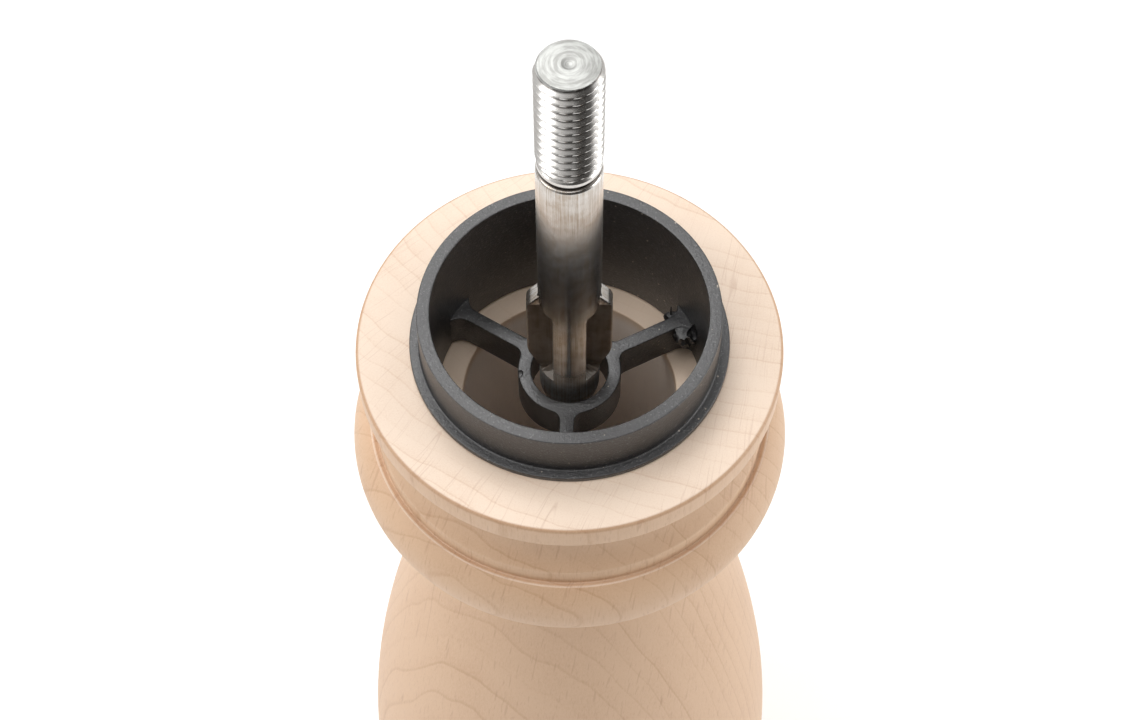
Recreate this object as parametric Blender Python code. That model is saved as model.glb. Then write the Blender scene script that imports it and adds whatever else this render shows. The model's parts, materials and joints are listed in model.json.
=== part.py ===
"""Hand coffee mill: a turned wooden body, a moulded fill bush, a steel drive shaft and a burr set.

Metres, +Z up along the drive shaft, origin at the middle of the base.
"""

import math

import bmesh
import bpy
from mathutils import Matrix, Vector

MM = 0.001

# gaps between pieces
FIT = 0.3 * MM                    # between faces that seat or rest on each other
RUN = 0.1 * MM                    # radial clearance where the spindle turns in its bearing

# sides of the round pieces
LARGE_STEPS = 36
SMALL_STEPS = 20

# drive shaft
SHAFT_RADIUS = 4.0 * MM
SHAFT_RISE = 56.2 * MM            # top end above the wood's top face
THREAD_PITCH = 1.25 * MM
THREAD_DEPTH = 0.75 * MM
THREAD_LENGTH = 15.7 * MM
THREAD_RELIEF = 1.7 * MM          # plain groove under the thread
THREAD_ROWS = 4                   # rings of points in each pitch
SHOULDER_CHAMFER = 0.5 * MM
END_CHAMFER = 0.8 * MM
DIMPLE_RADIUS = 1.2 * MM
DIMPLE_DEPTH = 0.6 * MM
SPINDLE_STEP = 1.0 * MM           # the spindle below the bush is this much thinner
SPINDLE_TAPER = 2.8 * MM
TAPER_ABOVE_HUB = -1.6 * MM
BURR_SEAT_STEP = 0.5 * MM         # the length that carries the inner burr is thinner again
BURR_SEAT_FLAT = 0.6 * MM         # depth of its two driving flats
SPINDLE_TAIL = 1.4 * MM           # end of the spindle past the nut

# drive ears, pinched out of the shaft above the fill bush
EAR_PROUD = 1.5 * MM
EAR_THICKNESS = 2.3 * MM
EAR_LENGTH = 16.5 * MM
EAR_BOTTOM_SLOPE = 3.9 * MM
EAR_TOP_SLOPE = 1.9 * MM
EAR_ABOVE_HUB = 2.6 * MM
PINCH_START = 2.16 * MM           # the pressed flats start this far from the axis

# fill bush
BUSH_BORE = 17.9 * MM
BUSH_WALL = 1.7 * MM
BUSH_RISE = 7.5 * MM
BUSH_DEPTH = 12.8 * MM
BUSH_EDGE = 0.4 * MM
FLANGE_OVERHANG = 1.3 * MM
FLANGE_THICKNESS = 0.8 * MM
HUB_WALL = 1.75 * MM
HUB_SHAFT_GAP = 1.15 * MM
SPOKE_HEIGHT = 5.7 * MM
SPOKE_WIDTH = 1.9 * MM
SPOKE_ANGLES = (-92.5, 27.5, 147.5)
HUB_FILLET = 1.5 * MM
SPOKE_GUSSET = 2.2 * MM

# wooden body
BODY_HEIGHT = 170.0 * MM
RIM_LAND = 7.1 * MM               # flat wood outside the bush's flange
RIM_BAND = 4.05 * MM
EDGE_ROUND = 0.6 * MM
COVE_WALL = 4.2 * MM              # wood between the bush and the bottom of the cove
COVE_DROP = 8.4 * MM
COVE_POWER = 2.2
BEAD_WALL = 6.7 * MM
BEAD_DROP = 14.6 * MM
CREASE_DEPTH = 0.8 * MM           # below the bulge's top edge, at the bead's foot
BULGE_TUBE = 7.0 * MM
BULGE_PROUD = 2.1 * MM            # past the rim's radius
BULGE_DROP = 22.4 * MM
BULGE_TOP_DEG = 52.0
NECK_WALL = 4.1 * MM
NECK_FILLET = 3.6 * MM
NECK_DROP = 43.0 * MM
THROAT_BORE = 14.5 * MM
HOPPER_BORE = 20.0 * MM
HOPPER_DROP = 65.0 * MM
HOPPER_CONE = 6.0 * MM
BELLY_WALL = 7.9 * MM             # wood outside the base recess
BELLY_DROP = 134.0 * MM
BELLY_POWER = 1.9
BELLY_POINTS = 11
FOOT_HEIGHT = 7.0 * MM
FOOT_GROOVE = 1.2 * MM
BASE_ROUND = 1.6 * MM

# burr set
BURR_RADIUS = 16.9 * MM           # grinding face of the outer burr at its mouth
BURR_SLOPE_DEG = 18.7
BURR_HEIGHT = 17.7 * MM
BURR_GAP = 1.0 * MM               # radial gap at the coarsest setting
BURR_WAIST = 8.7 * MM             # height of the outer burr's waist above its mouth
BURR_FEED_FLARE = 0.7 * MM
BURR_WALL = 2.5 * MM
BURR_ROWS = 7
TOOTH_DEPTH = 0.9 * MM
TOOTH_STEPS = 4
INNER_TEETH = 12
OUTER_TEETH = 20
TOOTH_TWIST_DEG = 28.0
INNER_BURR_HEIGHT = 19.9 * MM
INNER_BURR_SET_BACK = 2.2 * MM    # above the outer burr's mouth
CARRIER_WALL = 2.4 * MM
CARRIER_FLANGE = 1.3 * MM

# burr housing
HOUSING_WALL = 2.0 * MM
HOUSING_FLANGE = 2.4 * MM
HOUSING_FUNNEL = 11.7 * MM
HOUSING_INLET = 14.0 * MM
SEAT_WIDTH = 4.4 * MM
BRIDGE_HEIGHT = 6.0 * MM
BRIDGE_ARM = 3.0 * MM
BRIDGE_ANGLES = (90.0, 210.0, 330.0)
BRIDGE_HUB_WALL = 2.0 * MM

# bearing, clip and washers
BEARING_WALL = 1.4 * MM
BEARING_FLANGE = 1.0 * MM
WASHER_THICKNESS = 0.8 * MM
WASHER_WIDTH = 2.4 * MM
CLIP_THICKNESS = 0.8 * MM
CLIP_GROOVE = 0.6 * MM
CLIP_WIDTH = 1.9 * MM
CLIP_OPENING_DEG = 70.0

# spring
SPRING_TURNS = 4.5
SPRING_WIRE = 0.5 * MM            # radius of the wire
SPRING_CLEARANCE = 1.0 * MM       # between the spindle and the inside of the coil
SPRING_SIDES = 6
SPRING_STEPS = 14
SPRING_COVER = 1.2 * MM           # how far its washers reach past the coil
SPRING_LENGTH = 11.0 * MM

# fastening under the burrs
CLAMP_SET_BACK = 6.5 * MM         # underside of the clamp ring above the base
CLAMP_THICKNESS = 1.5 * MM
CLAMP_LIP = 0.7 * MM              # the ring's hole is this much wider than the burr's mouth
SCREW_COUNT = 3
SCREW_RADIUS = 1.25 * MM
SCREW_HEAD_RADIUS = 2.6 * MM
SCREW_HEAD_HEIGHT = 1.6 * MM
SCREW_DRIVE_RADIUS = 1.0 * MM
SCREW_LENGTH = 14.0 * MM
SCREW_POINT = 2.0 * MM
SCREW_START_DEG = 30.0
BURR_WASHER_WIDTH = 5.2 * MM
LOCK_WASHER_WIDTH = 1.6 * MM
LOCK_WASHER_SPLIT_DEG = 14.0
NUT_WALL = 1.5 * MM
NUT_HEIGHT = 3.3 * MM

# radii that follow
SPINDLE_RADIUS = SHAFT_RADIUS - SPINDLE_STEP
BURR_SEAT_RADIUS = SPINDLE_RADIUS - BURR_SEAT_STEP
EAR_SPAN = SHAFT_RADIUS + EAR_PROUD
SPIGOT_RADIUS = BUSH_BORE + BUSH_WALL
FLANGE_RADIUS = SPIGOT_RADIUS + FLANGE_OVERHANG
RIM_RADIUS = FLANGE_RADIUS + RIM_LAND
SOCKET_RADIUS = SPIGOT_RADIUS + FIT
HUB_BORE = SHAFT_RADIUS + HUB_SHAFT_GAP
HUB_RADIUS = HUB_BORE + HUB_WALL
BURR_SLOPE = math.tan(math.radians(BURR_SLOPE_DEG))
OUTER_BURR_RADIUS = BURR_RADIUS + BURR_WALL
HOUSING_BORE = OUTER_BURR_RADIUS + FIT
HOUSING_RADIUS = HOUSING_BORE + HOUSING_WALL
CHAMBER_RADIUS = HOUSING_RADIUS + FIT
SCREW_CIRCLE = HOUSING_RADIUS + SCREW_HEAD_RADIUS
CLAMP_RADIUS = SCREW_CIRCLE + SCREW_HEAD_RADIUS
RECESS_RADIUS = CLAMP_RADIUS + FIT
BELLY_RADIUS = RECESS_RADIUS + BELLY_WALL
SPRING_RADIUS = SPINDLE_RADIUS + SPRING_CLEARANCE + SPRING_WIRE
SPRING_WASHER_RADIUS = SPRING_RADIUS + SPRING_WIRE + SPRING_COVER
BEARING_BORE = SPINDLE_RADIUS + RUN
BEARING_RADIUS = BEARING_BORE + BEARING_WALL
BRIDGE_HUB_RADIUS = BEARING_RADIUS + FIT + BRIDGE_HUB_WALL
CARRIER_BORE = BURR_SEAT_RADIUS + FIT
CARRIER_RADIUS = CARRIER_BORE + CARRIER_WALL

# heights that follow, from the base up
CLAMP_TOP = CLAMP_SET_BACK + CLAMP_THICKNESS
BURR_MOUTH = CLAMP_TOP + FIT
HOUSING_FLANGE_TOP = BURR_MOUTH + HOUSING_FLANGE
RECESS_TOP = HOUSING_FLANGE_TOP + FIT
BURR_TOP = BURR_MOUTH + BURR_HEIGHT
SEAT_HEIGHT = BURR_TOP + FIT
FUNNEL_TOP = SEAT_HEIGHT + HOUSING_FUNNEL
INNER_BURR_BOTTOM = BURR_MOUTH + INNER_BURR_SET_BACK
INNER_BURR_TOP = INNER_BURR_BOTTOM + INNER_BURR_HEIGHT
CARRIER_TOP = INNER_BURR_TOP + FIT + CARRIER_FLANGE
THRUST_BOTTOM = CARRIER_TOP + FIT
SPRING_BOTTOM = THRUST_BOTTOM + WASHER_THICKNESS + FIT
SPRING_TOP = SPRING_BOTTOM + SPRING_LENGTH
SPRING_SEAT_BOTTOM = SPRING_TOP + FIT
BRIDGE_BOTTOM = SPRING_SEAT_BOTTOM + WASHER_THICKNESS + FIT
BRIDGE_TOP = BRIDGE_BOTTOM + BRIDGE_HEIGHT
HOUSING_TOP = max(BRIDGE_TOP, FUNNEL_TOP + HOUSING_INLET)
BEARING_FLANGE_TOP = BRIDGE_TOP + FIT + BEARING_FLANGE
STOP_BOTTOM = BEARING_FLANGE_TOP + FIT
CLIP_BOTTOM = STOP_BOTTOM + WASHER_THICKNESS + FIT
CLIP_TOP = CLIP_BOTTOM + CLIP_THICKNESS
CHAMBER_TOP = HOUSING_TOP + FIT
BURR_WASHER_BOTTOM = INNER_BURR_BOTTOM - FIT - WASHER_THICKNESS
LOCK_WASHER_BOTTOM = BURR_WASHER_BOTTOM - FIT - WASHER_THICKNESS
NUT_BOTTOM = LOCK_WASHER_BOTTOM - FIT - NUT_HEIGHT
SHAFT_BOTTOM = NUT_BOTTOM - SPINDLE_TAIL
BUSH_BOTTOM = BODY_HEIGHT - BUSH_DEPTH
BUSH_TOP = BODY_HEIGHT + BUSH_RISE
SPOKE_TOP = BUSH_BOTTOM + SPOKE_HEIGHT
EAR_BOTTOM = SPOKE_TOP + EAR_ABOVE_HUB
EAR_TOP = EAR_BOTTOM + EAR_LENGTH
SHAFT_TOP = BODY_HEIGHT + SHAFT_RISE
THREAD_TOP = SHAFT_TOP - END_CHAMFER
THREAD_BOTTOM = THREAD_TOP - THREAD_LENGTH


def clear_scene():
    for item in list(bpy.data.objects):
        bpy.data.objects.remove(item, do_unlink=True)


def material(name, colour, roughness, metallic=0.0):
    made = bpy.data.materials.new(name)
    made.use_nodes = True
    shader = made.node_tree.nodes["Principled BSDF"]
    shader.inputs["Base Color"].default_value = (*colour, 1.0)
    shader.inputs["Roughness"].default_value = roughness
    shader.inputs["Metallic"].default_value = metallic
    return made


def axis_empty(name, height, parent=None):
    """An empty on the shaft's axis, for the pieces that move with it."""
    made = bpy.data.objects.new(name, None)
    bpy.context.collection.objects.link(made)
    made.parent = parent
    made.location = (0, 0, height - (parent.location.z if parent else 0.0))
    return made


def add_object(name, edit, finish=None, parent=None):
    """A new object from a bmesh in world height, with its origin on the mill's axis."""
    bmesh.ops.recalc_face_normals(edit, faces=edit.faces)
    mesh = bpy.data.meshes.new(name)
    edit.to_mesh(mesh)
    edit.free()
    mesh.shade_smooth()
    mesh.set_sharp_from_angle(angle=math.radians(35))
    made = bpy.data.objects.new(name, mesh)
    bpy.context.collection.objects.link(made)
    if finish is not None:
        mesh.materials.append(finish)
    if parent is not None:
        height = parent.location.z + (parent.parent.location.z if parent.parent else 0.0)
        mesh.transform(Matrix.Translation((0, 0, -height)))
        made.parent = parent
    return made


def helper(name, edit, parent=None):
    """A piece used only to cut or join, left out of the model."""
    made = add_object(name, edit, parent=parent)
    made.hide_render = True
    made.display_type = "WIRE"
    return made


def combine(target, other, operation):
    step = target.modifiers.new(other.name, "BOOLEAN")
    step.object = other
    step.operation = operation
    step.solver = "EXACT"


def arc(centre, radius, start_deg, end_deg, steps):
    """Points along a round stretch, the first at start_deg."""
    angles = [math.radians(start_deg + (end_deg - start_deg) * i / steps) for i in range(steps + 1)]
    return [(centre[0] + radius * math.cos(a), centre[1] + radius * math.sin(a)) for a in angles]


def rotated(points, angle_deg):
    cos, sin = math.cos(math.radians(angle_deg)), math.sin(math.radians(angle_deg))
    return [(x * cos - y * sin, x * sin + y * cos) for x, y in points]


def circle(radius, steps):
    return arc((0.0, 0.0), radius, 0.0, 360.0, steps)[:-1]


def open_ring(inner, outer, gap_deg, steps):
    """A flat ring with a gap on its +X side."""
    near, far = gap_deg / 2, 360.0 - gap_deg / 2
    return arc((0.0, 0.0), outer, near, far, steps) + arc((0.0, 0.0), inner, far, near, steps)


def turned(outline, steps):
    """A bmesh spun about Z from a closed outline of (radius, height) points."""
    edit = bmesh.new()
    points = [edit.verts.new((r, 0.0, z)) for r, z in outline]
    edges = [edit.edges.new((points[i - 1], points[i])) for i in range(len(points))]
    bmesh.ops.spin(
        edit,
        geom=points + edges,
        cent=(0, 0, 0),
        axis=(0, 0, 1),
        angle=2 * math.pi,
        steps=steps,
        use_merge=True,
    )
    bmesh.ops.remove_doubles(edit, verts=edit.verts, dist=0.001 * MM)
    return edit


def turned_ring(inner, outer, bottom, top, steps=SMALL_STEPS):
    return turned([(inner, bottom), (outer, bottom), (outer, top), (inner, top)], steps)


def extruded(outline, bottom, top):
    """A bmesh of a flat outline of (x, y) points extruded along Z."""
    edit = bmesh.new()
    face = edit.faces.new([edit.verts.new((x, y, bottom)) for x, y in outline])
    raised = bmesh.ops.extrude_face_region(edit, geom=[face])["geom"]
    corners = [item for item in raised if isinstance(item, bmesh.types.BMVert)]
    bmesh.ops.translate(edit, verts=corners, vec=(0, 0, top - bottom))
    return edit


def stacked(rows, steps):
    """A closed bmesh through rings; a row is its height, its radius at an angle and its turn."""
    edit = bmesh.new()
    rings = []
    for height, radius_at, turn in rows:
        angles = [2 * math.pi * i / steps for i in range(steps)]
        radii = [radius_at(angle) for angle in angles]
        rings.append(
            [
                edit.verts.new((r * math.cos(a + turn), r * math.sin(a + turn), height))
                for r, a in zip(radii, angles)
            ]
        )
    for low, high in zip(rings, rings[1:]):
        for i in range(steps):
            edit.faces.new((low[i - 1], low[i], high[i], high[i - 1]))
    edit.faces.new(rings[0])
    edit.faces.new(rings[-1])
    return edit


def level(height, radius):
    """A plain round row for stacked()."""
    return (height, lambda angle: radius, 0.0)


def bell_points(neck, belly):
    """The lower body's flowing line, from the belly up to the neck, closer together near the neck."""
    points = []
    for i in range(BELLY_POINTS):
        share = (1 - i / (BELLY_POINTS - 1)) ** 1.5
        widened = 1 - (1 - share) ** BELLY_POWER
        points.append(
            (neck[0] + (belly[0] - neck[0]) * widened, neck[1] + (belly[1] - neck[1]) * share)
        )
    return points


def cove_points(low, deep, high, steps):
    """A hollow between two edges, deepest at its own height."""
    points = []
    for i in range(2 * steps + 1):
        share = i / steps - 1
        end = low if share < 0 else high
        depth = abs(share) ** COVE_POWER
        points.append(
            (deep[0] + (end[0] - deep[0]) * depth, deep[1] + (end[1] - deep[1]) * abs(share))
        )
    return points


def body_outline():
    """The turned outside from the base up to the rim, then the bored inside back down."""
    top = BODY_HEIGHT
    neck_radius = THROAT_BORE + NECK_WALL
    bulge = (RIM_RADIUS + BULGE_PROUD - BULGE_TUBE, top - BULGE_DROP)
    bead_radius = SOCKET_RADIUS + BEAD_WALL
    points = arc((BELLY_RADIUS - BASE_ROUND, BASE_ROUND), BASE_ROUND, -90, 0, 3)
    points += arc((BELLY_RADIUS, FOOT_HEIGHT), FOOT_GROOVE, -90, -270, 4)
    points += bell_points((neck_radius, top - NECK_DROP), (BELLY_RADIUS, top - BELLY_DROP))
    fillet = (neck_radius + NECK_FILLET, bulge[1] - BULGE_TUBE - NECK_FILLET)
    points += arc(fillet, NECK_FILLET, 180, 90, 3)
    bulge_side = arc(bulge, BULGE_TUBE, -90, BULGE_TOP_DEG, 9)
    points += bulge_side
    points.append((bead_radius, bulge_side[-1][1] - CREASE_DEPTH))
    points += cove_points(
        (bead_radius, top - BEAD_DROP),
        (SOCKET_RADIUS + COVE_WALL, top - COVE_DROP),
        (RIM_RADIUS - EDGE_ROUND, top - RIM_BAND),
        4,
    )
    points += arc((RIM_RADIUS - EDGE_ROUND, top - RIM_BAND + EDGE_ROUND), EDGE_ROUND, -60, 0, 1)
    points += arc((RIM_RADIUS - EDGE_ROUND, top - EDGE_ROUND), EDGE_ROUND, 0, 90, 2)
    ledge = BUSH_BOTTOM - FIT
    points += [(FLANGE_RADIUS + FIT, top), (FLANGE_RADIUS + FIT, top - FIT)]
    points += [(SOCKET_RADIUS, top - FIT), (SOCKET_RADIUS, ledge), (THROAT_BORE, ledge)]
    points += [(THROAT_BORE, top - HOPPER_DROP), (HOPPER_BORE, top - HOPPER_DROP - HOPPER_CONE)]
    points += [(HOPPER_BORE, CHAMBER_TOP), (CHAMBER_RADIUS, CHAMBER_TOP)]
    points += [(CHAMBER_RADIUS, RECESS_TOP), (RECESS_RADIUS, RECESS_TOP), (RECESS_RADIUS, 0.0)]
    return points


def screw_centres():
    around = [SCREW_START_DEG + 360.0 * i / SCREW_COUNT for i in range(SCREW_COUNT)]
    return [rotated([(SCREW_CIRCLE, 0.0)], angle)[0] for angle in around]


def screw_hole_cutters(name, bottom, top):
    """Round cutters for the clearance holes of the three clamp screws."""
    edit = bmesh.new()
    for x, y in screw_centres():
        bmesh.ops.create_cone(
            edit,
            cap_ends=True,
            segments=10,
            radius1=SCREW_RADIUS + FIT,
            radius2=SCREW_RADIUS + FIT,
            depth=top - bottom,
            matrix=Matrix.Translation((x, y, (bottom + top) / 2)),
        )
    return helper(name, edit)


def wood_body(finish):
    body = add_object("wood_body", turned(body_outline(), LARGE_STEPS), finish)
    deepest = CLAMP_SET_BACK + SCREW_LENGTH + FIT
    combine(body, screw_hole_cutters("body_pilot_holes", CLAMP_TOP, deepest), "DIFFERENCE")


def spoked_hub(hub_radius, width, reach, gusset, angles):
    """Flat outline of a hub with filleted spokes that widen where they meet a round wall."""
    across = width / 2 + HUB_FILLET
    fillet = (math.sqrt((hub_radius + HUB_FILLET) ** 2 - across**2), across)
    foot_deg = math.degrees(math.atan2(fillet[1], fillet[0]))
    side = arc(fillet, HUB_FILLET, foot_deg - 180.0, -90.0, 3)
    side += arc((reach - gusset - FIT / 2, width / 2 + gusset), gusset, -90.0, 0.0, 3)
    side.append((reach + FIT, width / 2 + gusset))
    outline = []
    for angle in angles:
        outline += rotated([(u, -v) for u, v in side] + side[::-1], angle)
        next_deg = angle + 360.0 / len(angles)
        outline += arc((0.0, 0.0), hub_radius, angle + foot_deg, next_deg - foot_deg, 6)[1:-1]
    return outline


def top_bush(finish):
    """The moulded ring that lines the filling hole, with a hub on three spokes."""
    flange_bottom = BODY_HEIGHT
    flange_top = flange_bottom + FLANGE_THICKNESS
    outline = [
        (BUSH_BORE, BUSH_BOTTOM),
        (SPIGOT_RADIUS, BUSH_BOTTOM),
        (SPIGOT_RADIUS, flange_bottom),
        (FLANGE_RADIUS, flange_bottom),
        (FLANGE_RADIUS, flange_top),
        (SPIGOT_RADIUS, flange_top),
        (SPIGOT_RADIUS, BUSH_TOP - BUSH_EDGE),
        (SPIGOT_RADIUS - BUSH_EDGE, BUSH_TOP),
        (BUSH_BORE + BUSH_EDGE, BUSH_TOP),
        (BUSH_BORE, BUSH_TOP - BUSH_EDGE),
    ]
    bush = add_object("top_bush", turned(outline, LARGE_STEPS), finish)
    flat = spoked_hub(HUB_RADIUS, SPOKE_WIDTH, BUSH_BORE, SPOKE_GUSSET, SPOKE_ANGLES)
    bottom = BUSH_BOTTOM + FIT / 3
    combine(bush, helper("bush_spokes", extruded(flat, bottom, SPOKE_TOP)), "UNION")
    bore = extruded(circle(HUB_BORE, LARGE_STEPS), BUSH_BOTTOM - MM, SPOKE_TOP + MM)
    combine(bush, helper("bush_hub_bore", bore), "DIFFERENCE")


def thread_radius(height):
    """Radius of the thread at one height, as a function of the angle."""

    def radius_at(angle):
        turn = (height - THREAD_BOTTOM) / THREAD_PITCH - angle / (2 * math.pi)
        ridge = abs(2 * (turn % 1.0) - 1)
        return SHAFT_RADIUS - THREAD_DEPTH * ridge

    return radius_at


def shaft_rows():
    """Rings of the drive shaft from its lower end to the centre dimple in its top."""
    chamfer = BURR_SEAT_STEP
    groove_radius = SPINDLE_RADIUS - CLIP_GROOVE
    taper_top = SPOKE_TOP + TAPER_ABOVE_HUB
    root = SHAFT_RADIUS - THREAD_DEPTH
    relief = THREAD_BOTTOM - THREAD_RELIEF
    rows = [
        level(SHAFT_BOTTOM, BURR_SEAT_RADIUS - chamfer),
        level(SHAFT_BOTTOM + chamfer, BURR_SEAT_RADIUS),
        level(CARRIER_TOP + FIT, BURR_SEAT_RADIUS),
        level(CARRIER_TOP + FIT, SPINDLE_RADIUS),
        level(CLIP_BOTTOM - FIT, SPINDLE_RADIUS),
        level(CLIP_BOTTOM - FIT, groove_radius),
        level(CLIP_TOP + FIT, groove_radius),
        level(CLIP_TOP + FIT, SPINDLE_RADIUS),
        level(taper_top - SPINDLE_TAPER, SPINDLE_RADIUS),
        level(taper_top, SHAFT_RADIUS),
        level(relief - SHOULDER_CHAMFER, SHAFT_RADIUS),
        level(relief, root),
        level(THREAD_BOTTOM - THREAD_PITCH / THREAD_ROWS, root),
    ]
    count = int(THREAD_LENGTH / THREAD_PITCH * THREAD_ROWS)
    for i in range(count + 1):
        height = THREAD_BOTTOM + i * THREAD_PITCH / THREAD_ROWS
        rows.append((height, thread_radius(height), 0.0))
    rows += [
        level(SHAFT_TOP, root),
        level(SHAFT_TOP, DIMPLE_RADIUS),
        level(SHAFT_TOP - DIMPLE_DEPTH, DIMPLE_RADIUS / 4),
    ]
    return rows


def upright(edit):
    """Turns a piece extruded along Z so that its outline stands in the XZ plane."""
    tilt = Matrix.Rotation(math.pi / 2, 3, "X")
    bmesh.ops.rotate(edit, verts=edit.verts, cent=(0, 0, 0), matrix=tilt)
    return edit


def pinch_cutters():
    """Four blocks that press the shaft's flanks flat beside the ears."""
    edit = bmesh.new()
    outside = EAR_SPAN + MM
    run_out = outside - PINCH_START
    outline = [
        (PINCH_START, EAR_BOTTOM),
        (outside, EAR_BOTTOM),
        (outside, EAR_TOP),
        (PINCH_START, EAR_TOP - run_out / 2),
    ]
    for side in (-1, 1):
        for face in (-1, 1):
            near, far = face * EAR_THICKNESS / 2, face * (SHAFT_RADIUS + MM)
            corners = [[edit.verts.new((side * x, y, z)) for x, z in outline] for y in (near, far)]
            edit.faces.new(corners[0])
            edit.faces.new(corners[1])
            for i in range(len(outline)):
                edit.faces.new((corners[0][i - 1], corners[0][i], corners[1][i], corners[1][i - 1]))
    return edit


def ear_outline():
    """One side's ear as (x, z) points, from the shaft's flank out and back."""
    inside = SHAFT_RADIUS - FIT
    edge = [
        (inside, EAR_BOTTOM),
        (EAR_SPAN, EAR_BOTTOM + EAR_BOTTOM_SLOPE),
        (EAR_SPAN, EAR_TOP - EAR_TOP_SLOPE),
        (EAR_SPAN - EAR_PROUD, EAR_TOP),
    ]
    return edge + [(-x, z) for x, z in reversed(edge)]


def drive_shaft(finish, parent):
    shaft = add_object("drive_shaft", stacked(shaft_rows(), SMALL_STEPS), finish, parent)
    combine(shaft, helper("ear_flats", pinch_cutters(), parent), "DIFFERENCE")
    plate = upright(extruded(ear_outline(), -EAR_THICKNESS / 2, EAR_THICKNESS / 2))
    combine(shaft, helper("ear_plate", plate, parent), "UNION")
    flats = flat_blocks(BURR_SEAT_RADIUS - BURR_SEAT_FLAT, SHAFT_BOTTOM - MM, CARRIER_TOP + FIT / 2)
    combine(shaft, helper("seat_flats", flats, parent), "DIFFERENCE")


def flat_blocks(half_thickness, bottom, top):
    """Two blocks, one on each side of the axis, that leave a web of twice half_thickness."""
    blocks = bmesh.new()
    width = 2 * SHAFT_RADIUS
    for side in (-1, 1):
        middle = (0, side * (half_thickness + width / 2), (bottom + top) / 2)
        size = Matrix.Diagonal((width, width, top - bottom, 1.0))
        bmesh.ops.create_cube(blocks, size=1.0, matrix=Matrix.Translation(middle) @ size)
    return blocks


def toothed(rows, teeth, depth, steps_per_tooth):
    """A solid with helical teeth; a row is its height and the radius at the tooth tips."""
    low, high = rows[0][0], rows[-1][0]
    ramp = steps_per_tooth - 1

    def at(tip):
        def radius_at(angle):
            step = round(angle / (2 * math.pi) * teeth * steps_per_tooth) % steps_per_tooth
            return tip + depth * (1 - step / ramp)

        return radius_at

    twisted = []
    for height, tip in rows:
        turn = math.radians(TOOTH_TWIST_DEG) * (height - low) / (high - low)
        twisted.append((height, at(tip), turn))
    return stacked(twisted, teeth * steps_per_tooth)


def face_radius(height):
    """The outer burr's grinding cone at a height, waist and feed flare left out."""
    return BURR_RADIUS - BURR_SLOPE * (height - BURR_MOUTH)


def outer_burr(finish):
    blank = extruded(circle(OUTER_BURR_RADIUS, LARGE_STEPS), BURR_MOUTH, BURR_TOP)
    burr = add_object("outer_burr", blank, finish)
    waist = BURR_MOUTH + BURR_WAIST
    rows = [(BURR_MOUTH - MM, face_radius(BURR_MOUTH - MM))]
    for i in range(BURR_ROWS):
        height = BURR_MOUTH + BURR_WAIST * i / (BURR_ROWS - 1)
        rows.append((height, face_radius(height)))
    rows.append((BURR_TOP, face_radius(waist) + BURR_FEED_FLARE))
    rows.append((BURR_TOP + MM, face_radius(waist) + BURR_FEED_FLARE))
    cutter = toothed(rows, OUTER_TEETH, TOOTH_DEPTH, TOOTH_STEPS - 1)
    combine(burr, helper("outer_burr_teeth", cutter), "DIFFERENCE")


def inner_burr(finish, parent):
    rows = []
    for i in range(BURR_ROWS + 1):
        height = INNER_BURR_BOTTOM + INNER_BURR_HEIGHT * i / BURR_ROWS
        rows.append((height, face_radius(height) - BURR_GAP - TOOTH_DEPTH))
    burr = toothed(rows, INNER_TEETH, TOOTH_DEPTH, TOOTH_STEPS)
    burr = add_object("inner_burr", burr, finish, parent)
    bore = extruded(hexagon(CARRIER_RADIUS + FIT), INNER_BURR_BOTTOM - MM, INNER_BURR_TOP + MM)
    combine(burr, helper("inner_burr_bore", bore, parent), "DIFFERENCE")


def hexagon(flat_radius):
    """A hexagon whose flats are this far from its middle."""
    return circle(flat_radius / math.cos(math.pi / 6), 6)


def burr_carrier(finish, parent):
    """A hexagonal sleeve with a round flange, driven by the spindle's flats."""
    flange_bottom = CARRIER_TOP - CARRIER_FLANGE
    sleeve = extruded(hexagon(CARRIER_RADIUS), INNER_BURR_BOTTOM, flange_bottom + CARRIER_FLANGE / 2)
    carrier = add_object("burr_carrier", sleeve, finish, parent)
    flange = extruded(circle(SPRING_WASHER_RADIUS, SMALL_STEPS), flange_bottom, CARRIER_TOP)
    combine(carrier, helper("carrier_flange", flange, parent), "UNION")
    bore = extruded(flatted_circle(CARRIER_BORE, BURR_SEAT_FLAT), INNER_BURR_BOTTOM - MM, CARRIER_TOP + MM)
    combine(carrier, helper("carrier_bore", bore, parent), "DIFFERENCE")


def flatted_circle(radius, flat):
    """A round outline with a flat on its front and back."""
    side_deg = math.degrees(math.asin((radius - flat) / radius))
    right = arc((0.0, 0.0), radius, -side_deg, side_deg, 6)
    return right + rotated(right, 180.0)


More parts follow.
